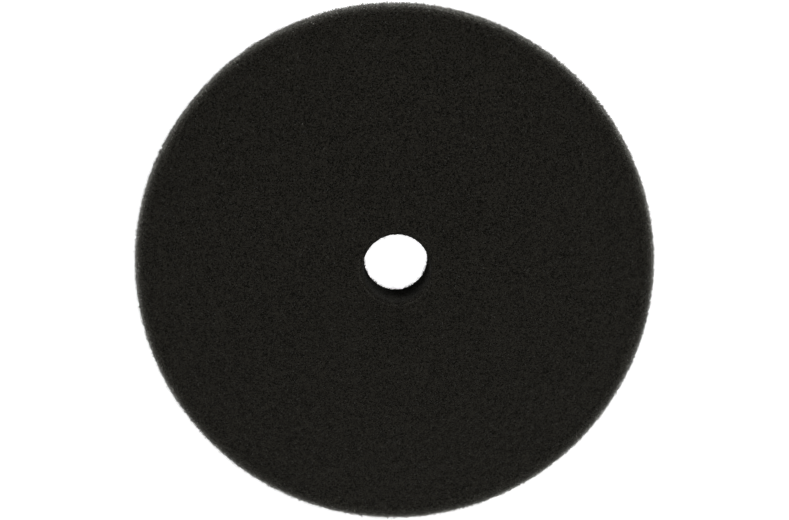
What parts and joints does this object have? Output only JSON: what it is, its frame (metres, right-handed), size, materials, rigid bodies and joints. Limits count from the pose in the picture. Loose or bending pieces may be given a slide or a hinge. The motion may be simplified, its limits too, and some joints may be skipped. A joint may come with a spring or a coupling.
{
  "type": "polishing pad",
  "caption": "Flat round black open-cell foam polishing pad with a soft rounded rim, a straight centre hole and a loop-fabric back for a hook-faced backing plate.",
  "frame": {"origin": "centre of the loop face, on the pad's axis, where the pad lies on a table", "axes": "+Z along the pad's axis, from the loop face up to the working face; +X and +Y are free because the pad is round"},
  "size_m": [0.16, 0.16, 0.0266],
  "materials": {
    "foam": "matt black open-cell polyurethane foam",
    "film": "smoky hot-melt adhesive film",
    "loop_fabric": "black brushed nylon loop fabric"
  },
  "bodies": {
    "root": {"foam_pad": "foam", "bond_film": "film", "loop_backing": "loop_fabric"}
  },
  "joints": []
}
